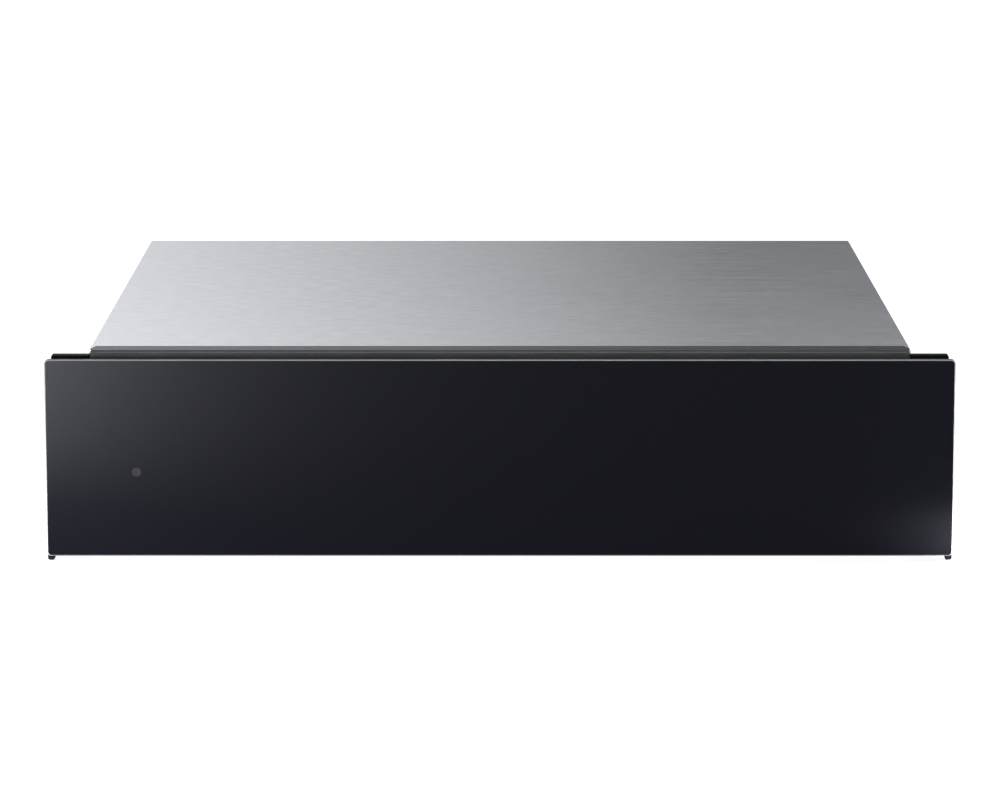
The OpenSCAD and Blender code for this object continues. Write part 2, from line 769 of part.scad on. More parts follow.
module drawer_shell() color("lightgray") in_place() {
    strip_w = 26;                          // front flanges beside the drawer's mouth
    strip_h = 20;
    slot_groups = [-0.6, 0.6];
    slot_z = [60, 96];
    drain_r = 8;
    drain_x = 25;
    difference() {
        union() {
            difference() {
                block([-shell_half, shell_y, shell_z], [shell_half, shell_back, shell_top]);
                block([-shell_in, shell_y - cut, shell_z + base_t],
                      [shell_in, shell_back - base_t, shell_top + cut]);
            }
            both_sides() {
                block([shell_half - fold_w, rim_front, shell_top - base_t],
                      [shell_half, shell_back, shell_top]);
                block([shell_half - strip_w, shell_y, shell_z], [shell_half, shell_y + base_t, dish_floor]);
            }
            block([-shell_half, shell_y, shell_z], [shell_half, shell_y + base_t, shell_z + strip_h]);
        }
        both_sides() {
            rivet_places() rod_x(0, 0, rivet_r, shell_in - cut, shell_half + cut);
            rod_y(striker_rivet_x, slide_z, striker_rivet_r, shell_back - base_t - cut, shell_back + cut);
        }
        screw_boss_places() rod_y(0, 0, screw_hole_r, shell_y - cut, shell_y + base_t + cut);
        along_y(shell_back - base_t - cut, shell_back + cut) for (at = slot_groups, i = [-3:3])
            slot_shape(at * shell_half + air_slot_pitch * i, slot_z[0], slot_z[1], air_slot_r);
        for (x = [-drain_x, 0, drain_x]) translate([x, tub_end + fan_space / 2, shell_z - cut])
            cylinder(r = drain_r, h = base_t + 2 * cut);
    }
}

// Section through the tub from its corner's centre outwards: floor, round, wall and rim
module tub_section() {
    wall = tub_corner_r;
    bend = wall - tub_floor_r;
    translate([0, tub_floor - tub_t]) square([bend, tub_t]);
    translate([wall, tub_floor + tub_floor_r]) square([tub_t, rim_top - tub_floor - tub_floor_r]);
    translate([wall, shell_top]) square([rim_w, tub_t]);
    translate([bend, tub_floor + tub_floor_r]) intersection() {
        difference() {
            circle(tub_floor_r + tub_t);
            circle(tub_floor_r);
        }
        translate([0, -2 * tub_floor_r]) square(2 * tub_floor_r);
    }
}

module tub() color("silver") in_place() difference() {
    cx = tub_half - tub_corner_r;
    cy0 = tub_y + tub_corner_r;
    cy1 = tub_end - tub_corner_r;
    union() {
        block([-cx, cy0, tub_floor - tub_t], [cx, cy1, tub_floor]);
        both_sides() {
            along_y(cy0, cy1) translate([cx, 0]) tub_section();
            translate([cx, cy1, 0]) rotate_extrude(angle = 90) tub_section();
            translate([cx, cy0, 0]) rotate([0, 0, -90]) rotate_extrude(angle = 90) tub_section();
        }
        along_x(-cx, cx) translate([cy1, 0]) tub_section();
        along_x(-cx, cx) translate([cy0, 0]) mirror([1, 0]) tub_section();
    }
    // Air goes in through the round grille and comes back through the slots beside it
    for (ring = [0:3], i = [0:max(0, 6 * ring - 1)]) rotate_about_fan(60 * i / max(1, ring))
        rod_y(hole_pitch * ring, 0, hole_r, tub_end - cut, tub_end + tub_t + cut);
    both_sides() along_y(tub_end - cut, tub_end + tub_t + cut) for (i = [0:6])
        slot_shape(0.45 * tub_half + air_slot_pitch * i, tub_floor + 26, tub_floor + 60, air_slot_r);
}

module rotate_about_fan(angle) translate([0, 0, fan_z]) rotate([0, angle, 0]) children();

module anti_slip_mat() color([0.2, 0.2, 0.2]) in_place() {
    margin = tub_floor_r + 2;
    x_half = tub_half - margin;
    y0 = tub_y + margin;
    y1 = tub_end - margin;
    border = 2 * mat_hole_r;
    nx = floor((x_half - border) / mat_pitch);
    ny = floor(((y1 - y0) / 2 - border) / mat_pitch);
    along_z(tub_floor, tub_floor + mat_t) difference() {
        round_rect(-x_half, y0, x_half, y1, tub_corner_r - tub_floor_r + 2);
        for (i = [-nx:nx], j = [-ny:ny])
            translate([i * mat_pitch, (y0 + y1) / 2 + j * mat_pitch]) circle(mat_hole_r);
    }
}

module heater_mat() color([0.75, 0.3, 0.12]) in_place() {
    margin = 22;
    corner_r = 12;
    along_z(tub_floor - tub_t - heater_t, tub_floor - tub_t)
        round_rect(-heater_half, tub_y + margin, heater_half, tub_end - margin, corner_r);
}

module insulation() color([0.85, 0.8, 0.55]) in_place() {
    rear_gap = 6;
    difference() {
        block([-tub_half, tub_y, shell_z + base_t],
              [tub_half, tub_end - rear_gap, tub_floor - tub_t - heater_t]);
        translate([0, cutout_y, shell_z]) cylinder(r = cutout_r + cutout_play, h = tub_floor_rise);
    }
}

module thermal_cutout() color([0.8, 0.8, 0.78]) in_place()
translate([0, cutout_y, tub_floor - tub_t - heater_t]) {
    cap_h = 4;
    body_r = 6;
    body_low = -9;
    tag_x = 3;
    tag = [3, 0.8, 6];
    tag_low = -14;
    translate([0, 0, -cap_h]) cylinder(r = cutout_r, h = cap_h);
    translate([0, 0, body_low]) cylinder(r = body_r, h = -body_low - cap_h);
    for (x = [-tag_x, tag_x]) translate([x - tag.x / 2, -tag.y / 2, tag_low]) cube(tag);
}

module control_ledge() color([0.1, 0.1, 0.11]) in_place() {
    rib_h = 12;
    front_h = 18;
    rib_half = 1;
    rib_pitch = shell_in / 3.6;
    bush_play = 0.1;
    top = rim_top - ledge_t / 2;
    difference() {
        union() {
            block([-shell_in, shell_y, rim_top - ledge_t], [shell_in, rim_front, rim_top]);
            block([-shell_in, shell_y + base_t, rim_top - front_h],
                  [shell_in, shell_y + base_t + ledge_t, top]);
            block([-shell_in, rim_front - ledge_t, rim_top - rib_h], [shell_in, rim_front, top]);
            for (i = [-2:3]) translate([i * rib_pitch, 0, 0])
                block([-rib_half, shell_y + base_t, rim_top - rib_h], [rib_half, rim_front, top]);
            translate([knob_x, knob_y, dish_floor]) cylinder(r = dish_r + dish_wall, h = dish_depth + ledge_t);
        }
        translate([knob_x, knob_y, dish_floor + ledge_t]) cylinder(r = dish_r, h = dish_depth + cut);
        translate([knob_x, knob_y, dish_floor - cut]) cylinder(r = bush_r + bush_play, h = 2 * ledge_t);
    }
}

module selector_switch() color([0.16, 0.16, 0.17]) in_place() translate([knob_x, knob_y, dish_floor]) {
    half_w = 13;
    half_d = 12;
    low = -17;
    bush_top = ledge_t + 0.2;
    tag_x = 8;
    tag_half = 1.5;
    tag_t = 0.8;
    tag_low = -25;
    bore_low = shaft_low - dish_floor - cut;
    play = 0.05;
    difference() {
        union() {
            block([-half_w, -half_d, low], [half_w, half_d, 0]);
            translate([0, 0, -cut]) cylinder(r = bush_r, h = bush_top + cut);
            for (x = [-tag_x, 0, tag_x])
                block([x - tag_half, -tag_t / 2, tag_low], [x + tag_half, tag_t / 2, low + cut]);
        }
        translate([0, 0, bore_low]) cylinder(r = shaft_r + play, h = bush_top + cut - bore_low);
    }
}

module selector_knob() color([0.75, 0.75, 0.76]) in_place() translate([knob_x, knob_y, 0]) {
    skirt_h = 3;
    grip_r = knob_d / 2 - skirt_h;
    edge = 0.8;
    flute_r = 1.8;
    flute_out = 1.2;                       // distance of a flute's middle outside the grip
    flute_step = 15;
    boss_r = 7;
    boss_d = 4;
    mark_w = 1.4;
    mark_len = 9;
    mark_d = 0.5;
    difference() {
        union() {
            translate([0, 0, knob_low]) cylinder(r = knob_d / 2, h = skirt_h);
            translate([0, 0, knob_low]) cylinder(r = grip_r, h = knob_top - knob_low - edge);
            translate([0, 0, knob_top - edge]) cylinder(r1 = grip_r, r2 = grip_r - edge, h = edge);
        }
        for (a = [flute_step:flute_step:360 - flute_step]) rotate(a)
            translate([grip_r + flute_out, 0, knob_low + skirt_h + 0.4])
                cylinder(r = flute_r, h = knob_top - knob_low);
        translate([0, 0, knob_low - cut]) cylinder(r = boss_r, h = cut + boss_d);
        translate([-mark_w / 2, grip_r - mark_len, knob_top - mark_d]) cube([mark_w, knob_d, cut]);
    }
    translate([0, 0, shaft_low]) cylinder(r = shaft_r, h = knob_low + boss_d + cut - shaft_low);
}

module rear_lid() color("silver") in_place() {
    slot_step = 12;
    slot_y = rim_back + 18;
    slot_len = 28;
    difference() {
        block([-shell_half, rim_back, shell_top], [shell_half, shell_back, rim_top]);
        along_z(shell_top - cut, rim_top + cut) for (i = [-6:6])
            slot_shape(i * slot_step, slot_y, slot_y + slot_len, vent_r);
    }
}

// Fan ---------------------------------------------------------------------------------------------

module fan_impeller() color([0.7, 0.7, 0.72]) in_place() rotate_about_fan(0) {
    blades = 20;
    blade_len = 11.5;
    blade_t = 1;
    blade_turn = 32;
    plate_t = 1.2;
    plate_y = fan_y + 15;
    eye_r = fan_r - 11;
    hub_r = 7;
    hub_y = fan_y + 8;
    hub_end = fan_y + 22;
    difference() {
        union() {
            rod_y(0, 0, fan_r, plate_y, plate_y + plate_t);
            difference() {
                rod_y(0, 0, fan_r, fan_y, fan_y + plate_t);
                rod_y(0, 0, eye_r, fan_y - cut, fan_y + plate_t + cut);
            }
            along_y(fan_y + plate_t / 2, plate_y + plate_t / 2) for (i = [1:blades]) rotate(360 * i / blades)
                translate([fan_r - 6.3, 0]) rotate(blade_turn) square([blade_len, blade_t], center = true);
            rod_y(0, 0, hub_r, hub_y, hub_end);
        }
        rod_y(0, 0, fan_shaft_r, fan_y, hub_end + cut);
    }
}

module fan_rotor() color("silver") in_place() rotate_about_fan(0) {
    end_play = 0.5;
    rod_y(0, 0, fan_shaft_r, fan_y + 8, stator_y + stator_d + bell_t + 3);
    rod_y(0, 0, rotor_r, stator_y + end_play, stator_y + stator_d - end_play);
}

module fan_stator() color([0.5, 0.5, 0.52]) in_place() rotate_about_fan(0) {
    core = [26, 24];                       // half width and half height of the iron core
    core_r = 3;
    coil = [12, 38, 23];                   // half width and lowest and highest edge below the shaft
    coil_over = 5;
    bell = [24, 13];
    round_r = 4;
    bore_play = 0.8;
    shaft_play = 0.05;
    difference() {
        union() {
            along_y(stator_y, stator_y + stator_d) round_rect(-core.x, -core.y, core.x, core.y, core_r);
            along_y(stator_y - coil_over, stator_y + stator_d + coil_over)
                round_rect(-coil[0], -coil[1], coil[0], -coil[2], round_r);
        }
        rod_y(0, 0, rotor_r + bore_play, stator_y - cut, stator_y + stator_d + cut);
    }
    for (y = [stator_y - bell_t, stator_y + stator_d]) difference() {
        along_y(y, y + bell_t) round_rect(-bell.x, -bell.y, bell.x, bell.y, round_r);
        rod_y(0, 0, fan_shaft_r + shaft_play, y - cut, y + bell_t + cut);
    }
}

module fan_bracket() color("lightgray") in_place() rotate_about_fan(0) {
    half_w = 30;
    half_h = 24;
    corner_r = 4;
    back = shell_back - base_t;
    along_y(back - bracket_t, back) round_rect(-half_w, -half_h, half_w, half_h, corner_r);
    both_sides() rod_y(stand_x, 0, stand_r, stator_y + stator_d + bell_t, back - bracket_t / 2);
}

module striker_plate() color("silver") in_place() {
    half_w = 16;
    half_h = 12;
    corner_r = 3;
    play = 0.05;
    along_y(shell_back, shell_back + striker_t)
        round_rect(-half_w, slide_z - half_h, half_w, slide_z + half_h, corner_r);
    both_sides()
        rod_y(striker_rivet_x, slide_z, striker_rivet_r - play, shell_back - base_t, shell_back + bond);
}

module drawer_rivets() color("silver") in_place() both_sides() rivet_places() {
    rod_x(0, 0, rivet_r, shell_in, shell_half + rail_sheet);
    rod_x(0, 0, rivet_head_r, shell_in - rivet_head_t, shell_in);
}

module drawer_screws() color("silver") in_place() {
    small_head_r = 2.4;
    small_head_h = 1.2;
    back = board_y + board_t;
    screw_boss_places() screw_y(0, 0, shell_y + base_t, long_screw_len);
    for (z = board_posts) {
        rod_y(light_x, light_z + z, board_screw_r, board_y - board_screw_len, back);
        rod_y(light_x, light_z + z, small_head_r, back, back + small_head_h);
    }
}

// Ball slides ---------------------------------------------------------------------------------

// Draws a rail's section for both its upper and its lower half
module mirrored_half() {
    children();
    mirror([0, 1]) children();
}

// Places a section drawn in u and v against the right-hand side panel
module slide_stretch(y0, y1) along_y(y0, y1) translate([side_in, slide_z]) mirror([1, 0]) children();

module outer_section() {
    top = outer_v + race_r + rail_sheet;
    translate([0, -top]) square([rail_sheet, 2 * top]);
    mirrored_half() {
        translate([0, top - rail_sheet]) square([outer_u, rail_sheet]);
        race(outer_u, outer_v, 90, 10);
    }
}

module mid_section() {
    shelf = outer_v - race_r - rail_sheet;
    web_u = outer_u - race_r - rail_sheet;
    lap = 1.5;                             // how far the web runs into the raceways
    translate([web_u, -shelf - lap]) square([rail_sheet, 2 * (shelf + lap)]);
    mirrored_half() {
        race(outer_u, outer_v, 200, 270);
        translate([outer_u, shelf]) square([inner_u - outer_u, rail_sheet]);
        race(inner_u, inner_v, 90, 10);
    }
}

module inner_section() {
    shelf = inner_v - race_r - rail_sheet;
    translate([slide_t - rail_sheet, -shelf - rail_sheet]) square([rail_sheet, 2 * shelf + 2 * rail_sheet]);
    mirrored_half() {
        translate([inner_u, shelf]) square([slide_t - inner_u, rail_sheet]);
        race(inner_u, inner_v, 190, 270);
    }
}

module outer_rail() {
    stop_half = 9;
    stop_u = 7;
    difference() {
        union() {
            slide_stretch(slide_y, shell_back) outer_section();
            // Folded stop at the rear end
            slide_stretch(shell_back - rail_sheet, shell_back)
                translate([0, -stop_half]) square([stop_u, 2 * stop_half]);
        }
        rivet_places() rod_x(0, 0, rivet_r, side_in - rail_sheet - cut, side_in + cut);
    }
}

module mid_rail() {
    hole_r = 5.5;                          // access to the rivets of the fixed rail
    difference() {
        slide_stretch(slide_y, shell_back - 3) mid_section();
        rivet_places() rod_x(0, 0, hole_r, side_in - inner_u, side_in - rail_sheet);
    }
}

module inner_rail() difference() {
    slide_stretch(slide_y, shell_back - 4) inner_section();
    rivet_places() rod_x(0, 0, rivet_r, shell_half - cut, shell_half + rail_sheet + cut);
}

module ball_places(u, v) {
    step = (cage_len - 2 * cage_end) / (ball_count - 1);
    for (s = [-1, 1], i = [0:ball_count - 1])
        translate([side_in - u, cage_y + cage_end + step * i, slide_z + s * v]) children();
}

// Pressed strip with a flap above and below that holds a row of balls
module cage(web_u, u, v) {
    top = v + 0.3 + cage_t;
    reach_u = u + 1.8;
    hole_play = 0.15;
    difference() {
        slide_stretch(cage_y, cage_y + cage_len) polygon([
            [web_u, -top], [reach_u, -top], [reach_u, cage_t - top], [web_u + cage_t, cage_t - top],
            [web_u + cage_t, top - cage_t], [reach_u, top - cage_t], [reach_u, top], [web_u, top]
        ]);
        ball_places(u, v) translate([0, 0, -ball_r - cut])
            cylinder(r = ball_r + hole_play, h = 2 * (ball_r + cut));
    }
}

module outer_cage() cage(rail_sheet + 0.2, outer_u, outer_v);
module inner_cage() cage(inner_cage_u, inner_u, inner_v);

module outer_rail_left() color("lightgray") in_place() on_side(-1) outer_rail();
module outer_rail_right() color("lightgray") in_place() on_side(1) outer_rail();
module mid_rail_left() color("gainsboro") in_place() on_side(-1) mid_rail();
module mid_rail_right() color("gainsboro") in_place() on_side(1) mid_rail();
module inner_rail_left() color("lightgray") in_place() on_side(-1) inner_rail();
module inner_rail_right() color("lightgray") in_place() on_side(1) inner_rail();
module outer_cage_left() color("white") in_place() on_side(-1) outer_cage();
module outer_cage_right() color("white") in_place() on_side(1) outer_cage();
module inner_cage_left() color("white") in_place() on_side(-1) inner_cage();
module inner_cage_right() color("white") in_place() on_side(1) inner_cage();
module outer_balls() ball_places(outer_u, outer_v) sphere(ball_r);
module inner_balls() ball_places(inner_u, inner_v) sphere(ball_r);
module outer_balls_left() color("silver") in_place() on_side(-1) outer_balls();
module outer_balls_right() color("silver") in_place() on_side(1) outer_balls();
module inner_balls_left() color("silver") in_place() on_side(-1) inner_balls();
module inner_balls_right() color("silver") in_place() on_side(1) inner_balls();

// Nodes ---------------------------------------------------------------------------------------

base_pan();
side_panel_left();
side_panel_right();
rear_panel();
top_cover();
front_rail();
lower_rail();
mounting_flange_left();
mounting_flange_right();
feet();
outer_rail_left();
outer_rail_right();
latch_housing();
latch_spring();
terminal_block();
cord_gland();
casing_screws();
casing_rivets();
latch_plunger();
latch_magnet();
glass_front();
front_carrier();
carrier_back();
side_trim_left();
side_trim_right();
light_guide();
indicator_board();
drawer_shell();
tub();
anti_slip_mat();
heater_mat();
insulation();
thermal_cutout();
control_ledge();
selector_switch();
rear_lid();
fan_stator();
fan_bracket();
striker_plate();
inner_rail_left();
inner_rail_right();
drawer_rivets();
drawer_screws();
mid_rail_left();
mid_rail_right();
outer_cage_left();
outer_cage_right();
inner_cage_left();
inner_cage_right();
outer_balls_left();
outer_balls_right();
inner_balls_left();
inner_balls_right();
selector_knob();
fan_impeller();
fan_rotor();
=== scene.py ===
"""Built-in warming drawer: finishes, small fitted details, camera, floor and studio light."""
import math

import bmesh
import bpy
from mathutils import Matrix, Vector


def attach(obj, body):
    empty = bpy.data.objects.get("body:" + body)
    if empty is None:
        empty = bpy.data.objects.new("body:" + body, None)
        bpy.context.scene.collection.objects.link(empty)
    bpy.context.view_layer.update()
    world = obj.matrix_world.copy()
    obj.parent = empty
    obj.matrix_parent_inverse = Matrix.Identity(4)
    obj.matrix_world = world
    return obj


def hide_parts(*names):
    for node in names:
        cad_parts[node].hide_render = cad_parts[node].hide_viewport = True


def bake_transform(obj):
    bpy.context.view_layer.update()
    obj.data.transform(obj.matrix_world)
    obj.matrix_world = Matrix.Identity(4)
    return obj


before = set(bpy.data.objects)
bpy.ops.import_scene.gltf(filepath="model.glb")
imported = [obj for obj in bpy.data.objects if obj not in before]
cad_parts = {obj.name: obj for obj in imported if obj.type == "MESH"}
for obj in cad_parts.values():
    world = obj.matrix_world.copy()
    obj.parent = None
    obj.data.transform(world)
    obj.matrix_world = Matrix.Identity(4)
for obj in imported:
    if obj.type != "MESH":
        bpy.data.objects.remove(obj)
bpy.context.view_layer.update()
bpy.ops.object.select_all(action="DESELECT")
scene = bpy.context.scene


# Finishes ----------------------------------------------------------------------------------------

def feed(tree, socket, value):
    """Links an input to another node's output, or sets it to a value."""
    if isinstance(value, bpy.types.NodeSocket):
        tree.links.new(value, socket)
    else:
        socket.default_value = value


def add_node(tree, kind, **settings):
    """Adds a shader node. A setting is one of its properties, a value of an input or a link to it."""
    made = tree.nodes.new("ShaderNode" + kind)
    for name, value in settings.items():
        label = name.replace("_", " ").title()
        if label in made.inputs:
            feed(tree, made.inputs[label], value)
        else:
            setattr(made, name, value)
    return made


def calculate(tree, operation, *values):
    """The result of a maths node. Each of its values is a number or a link."""
    made = add_node(tree, "Math", operation=operation)
    for place, value in enumerate(values):
        feed(tree, made.inputs[place], value)
    return made.outputs[0]


def new_finish(name, **fixed):
    """A material with the values of its shader that are the same all over."""
    finish = bpy.data.materials.new(name)
    finish.use_nodes = True
    shader = finish.node_tree.nodes["Principled BSDF"]
    for label, value in fixed.items():
        shader.inputs[label.replace("_", " ")].default_value = value
    return finish, finish.node_tree, shader


def grain(tree, per_metre, detail=4.0, low=0.3, high=0.7):
    """Noise from 0 to 1 on object coordinates, with its own number of grains per metre each way."""
    place = add_node(tree, "TexCoord").outputs["Object"]
    stretched = add_node(tree, "Mapping", vector=place, scale=per_metre).outputs["Vector"]
    noise = add_node(tree, "TexNoise", vector=stretched, scale=1.0, detail=detail, roughness=0.6)
    return add_node(tree, "MapRange", value=noise.outputs["Fac"], from_min=low, from_max=high).outputs["Result"]


def tone(tree, amount, dark, light):
    """A colour between two, by an amount from 0 to 1."""
    ramp = add_node(tree, "ValToRGB", fac=amount)
    ramp.color_ramp.elements[0].color = (*dark, 1)
    ramp.color_ramp.elements[1].color = (*light, 1)
    return ramp.outputs["Color"]


def between(tree, amount, low, high):
    """Maps an amount from 0 to 1 on to a range."""
    return add_node(tree, "MapRange", value=amount, to_min=low, to_max=high).outputs["Result"]


def relief(tree, shader, height, depth, strength=1.0):
    """Bumps on the surface: a height from 0 to 1, times a depth in metres."""
    bump = add_node(tree, "Bump", height=height, distance=depth, strength=strength)
    tree.links.new(bump.outputs["Normal"], shader.inputs["Normal"])


def surface(name, dark, light, rough, patches, fine=None, depth=0.0, **fixed):
    """A finish with colour and roughness that vary in patches, and a fine relief."""
    finish, tree, shader = new_finish(name, **fixed)
    amount = grain(tree, patches)
    tree.links.new(tone(tree, amount, dark, light), shader.inputs["Base Color"])
    tree.links.new(between(tree, amount, *rough), shader.inputs["Roughness"])
    if fine:
        relief(tree, shader, grain(tree, fine, detail=3.0, low=0.0, high=1.0), depth)
    return finish


def brushed_cover_steel():
    """Stainless steel sheet with fine brushing from side to side."""
    finish, tree, shader = new_finish("brushed_cover_steel", Metallic=1.0, Anisotropic=0.6)
    streaks = grain(tree, (9, 700, 700), detail=6.0)
    waves = grain(tree, (70, 300, 300), detail=3.0, low=0.35, high=0.65)
    both = calculate(tree, "MULTIPLY_ADD", streaks, 0.4, between(tree, waves, 0.0, 0.6))
    tree.links.new(tone(tree, both, (0.52, 0.527, 0.555), (0.68, 0.688, 0.718)), shader.inputs["Base Color"])
    tree.links.new(between(tree, streaks, 0.2, 0.27), shader.inputs["Roughness"])
    along = add_node(tree, "Tangent", direction_type="RADIAL", axis="X")
    tree.links.new(along.outputs["Tangent"], shader.inputs["Tangent"])
    relief(tree, shader, streaks, 0.000004)
    return finish


def black_glass():
    """Black glass: a smooth face, and a ground edge that is lighter and rougher than the face. The edge's
    colour also holds painted shade: it is painted lighter where it faces sideways or forwards, so the side
    faces and side bevels are lighter and the top and bottom faces darker.
    """
    finish, tree, shader = new_finish("black_glass", Specular_IOR_Level=0.068, Specular_Tint=(0.9, 0.92, 1, 1))
    facing = add_node(tree, "SeparateXYZ", vector=add_node(tree, "NewGeometry").outputs["True Normal"])
    sideways = calculate(tree, "ABSOLUTE", facing.outputs["X"])
    flat = calculate(tree, "ABSOLUTE", facing.outputs["Y"])
    edge = add_node(tree, "MapRange", value=flat, from_min=0.8, from_max=0.95,
                    to_min=1.0, to_max=0.0).outputs["Result"]
    # Painted shade: how far the surface faces sideways or forwards sets how light the ground edge is painted,
    # darkest on the top and bottom faces
    painted_shade_by_facing = calculate(tree, "ADD", sideways, flat)
    bevel = add_node(tree, "MapRange", value=painted_shade_by_facing, from_max=1.4, to_min=0.05).outputs["Result"]
    # The ground edge, times the painted shade by facing
    ground = calculate(tree, "MULTIPLY", edge, bevel)
    tree.links.new(tone(tree, ground, (0.0011, 0.0012, 0.0024), (0.22, 0.224, 0.235)),
                   shader.inputs["Base Color"])
    film = grain(tree, (14, 14, 14), detail=3.0)
    rough = calculate(tree, "MAXIMUM", between(tree, edge, 0.0, 0.45), between(tree, film, 0.1, 0.14))
    tree.links.new(rough, shader.inputs["Roughness"])
    return finish


def circuit_board():
    """Green solder mask over copper tracks."""
    finish, tree, shader = new_finish("circuit_board", Roughness=0.35)
    place = add_node(tree, "TexCoord").outputs["Object"]
    tracks = add_node(tree, "TexBrick", vector=add_node(
        tree, "Mapping", vector=place, rotation=(math.pi / 2, 0, 0), scale=(260, 260, 260)).outputs["Vector"],
        scale=1.0, mortar_size=0.06, color1=(0.01, 0.07, 0.03, 1), color2=(0.012, 0.085, 0.035, 1),
        mortar=(0.05, 0.22, 0.08, 1))
    tree.links.new(tracks.outputs["Color"], shader.inputs["Base Color"])
    relief(tree, shader, tracks.outputs["Fac"], 0.00003, strength=0.6)
    return finish


def laminated_iron():
    """The motor's core of thin sheets, painted grey."""
    finish, tree, shader = new_finish("laminated_iron", Metallic=0.6)
    place = add_node(tree, "TexCoord").outputs["Object"]
    sheets = add_node(tree, "TexWave", vector=place, bands_direction="Y", scale=320.0,
                      distortion=0.3, detail=1.0).outputs["Fac"]
    tree.links.new(tone(tree, sheets, (0.09, 0.09, 0.095), (0.27, 0.27, 0.28)), shader.inputs["Base Color"])
    tree.links.new(between(tree, sheets, 0.5, 0.32), shader.inputs["Roughness"])
    relief(tree, shader, sheets, 0.00008)
    return finish


def mineral_wool():
    """Pressed fibres, matted in all directions."""
    finish, tree, shader = new_finish("mineral_wool", Roughness=0.95, Sheen_Weight=0.3)
    across, along = grain(tree, (900, 90, 300)), grain(tree, (90, 900, 300))
    felt = calculate(tree, "MAXIMUM", across, along)
    tree.links.new(tone(tree, felt, (0.32, 0.27, 0.13), (0.72, 0.66, 0.42)), shader.inputs["Base Color"])
    relief(tree, shader, felt, 0.0012)
    return finish


steel = {"Metallic": 1.0}
finishes = {
    "brushed_steel": brushed_cover_steel(),
    "galvanised_steel": surface("galvanised_steel", (0.46, 0.47, 0.49), (0.6, 0.61, 0.63), (0.32, 0.48),
                                (70, 70, 70), (900, 260, 900), 0.000012, **steel),
    "zinc_plated_rail": surface("zinc_plated_rail", (0.55, 0.56, 0.59), (0.68, 0.69, 0.71), (0.2, 0.34),
                                (700, 12, 700), (1200, 60, 1200), 0.00001, **steel),
    "polished_steel": surface("polished_steel", (0.62, 0.62, 0.64), (0.72, 0.72, 0.74), (0.08, 0.2),
                              (300, 300, 300), **steel),
    "stainless_tub": surface("stainless_tub", (0.58, 0.58, 0.59), (0.68, 0.68, 0.69), (0.24, 0.36),
                             (8, 420, 420), (30, 1500, 1500), 0.000008, **steel),
    "black_glass": black_glass(),
    "grey_rail": surface("grey_rail", (0.02, 0.0205, 0.0225), (0.027, 0.0275, 0.03), (0.24, 0.32),
                         (30, 400, 400), (2500, 2500, 2500), 0.00001, Specular_IOR_Level=0.04),
    "black_metal": surface("black_metal", (0.002, 0.002, 0.0024), (0.004, 0.004, 0.0046), (0.4, 0.55),
                           (120, 120, 120), (1800, 1800, 1800), 0.00003, Specular_IOR_Level=0.02),
    "black_plastic": surface("black_plastic", (0.003, 0.003, 0.0034), (0.006, 0.006, 0.0066), (0.55, 0.7),
                             (200, 200, 200), (3500, 3500, 3500), 0.00003, Specular_IOR_Level=0.03),
    "grey_lens": surface("grey_lens", (0.011, 0.011, 0.0125), (0.014, 0.014, 0.016), (0.25, 0.4),
                         (600, 600, 600), (2500, 2500, 2500), 0.00001, Specular_IOR_Level=0.06),
    "green_board": circuit_board(),
    "black_rubber": surface("black_rubber", (0.016, 0.016, 0.016), (0.03, 0.03, 0.03), (0.7, 0.85),
                            (250, 250, 250), (2200, 2200, 2200), 0.00008),
    "grey_silicone": surface("grey_silicone", (0.045, 0.046, 0.05), (0.065, 0.066, 0.07), (0.55, 0.72),
                             (60, 60, 60), (2600, 2600, 2600), 0.00005, Sheen_Weight=0.15),
    "red_silicone": surface("red_silicone", (0.34, 0.06, 0.02), (0.46, 0.09, 0.03), (0.5, 0.65),
                            (120, 120, 120), (1500, 1500, 300), 0.00008),
    "mineral_wool": mineral_wool(),
    "white_plastic": surface("white_plastic", (0.62, 0.61, 0.56), (0.7, 0.69, 0.64), (0.35, 0.5),
                             (150, 150, 150), (2500, 2500, 2500), 0.00002),
    "ferrite": surface("ferrite", (0.06, 0.06, 0.065), (0.11, 0.11, 0.115), (0.55, 0.75),
                       (900, 900, 900), (4000, 4000, 4000), 0.00005),
    "cage_steel": surface("cage_steel", (0.45, 0.46, 0.48), (0.56, 0.57, 0.59), (0.28, 0.42),
                          (500, 20, 500), (1500, 200, 1500), 0.00001, **steel),
    "knob_metal": surface("knob_metal", (0.6, 0.6, 0.61), (0.7, 0.7, 0.71), (0.25, 0.38),
                          (250, 250, 250), (1800, 1800, 1800), 0.00001, **steel),
    "fan_metal": surface("fan_metal", (0.52, 0.52, 0.54), (0.64, 0.64, 0.66), (0.3, 0.45),
                         (160, 160, 160), (1400, 1400, 1400), 0.00001, **steel),
    "motor_steel": laminated_iron(),
}

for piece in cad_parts.values():
    for slot in piece.material_slots:
        slot.material = finishes[slot.material.name]


# Small fitted pieces, modelled at their real size -----------------------------------------------------

MM = 0.001

# Places in mm, as in the part's source: X from the middle, depth from the face of the glass, Z from the floor
HALF_DEPTH = 275
CASING_HALF = 269.25
SIDE_OUT = 268.45
SIDE_IN = 267.65
SHELL_IN = 253.95
SHELL_FRONT_IN = 23.8
REAR_OUT = 545.8
PAN_OUT = 546.8
BOARD_BACK = 15.6
COVER_SCREW_DEPTHS, COVER_SCREW_Z = (70, 275, 510), 133
REAR_SCREW_X, REAR_SCREW_Z = 261.65, (30, 110)
PAN_SCREW_SHARES, PAN_SCREW_Z = (-0.8, -0.25, 0.25, 0.8), 13
LATCH_EAR_X = 28
BOSS_X, BOSS_Z = 241.95, (28, 97)
LIGHT_X, BOARD_SCREW_Z = -238, (51.8, 69.8)
FOOT_X, FOOT_DEPTHS = 219.473, (55, 525)
SLIDE_Z = 60
RIVET_DEPTHS = (66, 192, 318, 444)
TUB_MIDDLE, TUB_FLOOR_Z = 243.5, 36
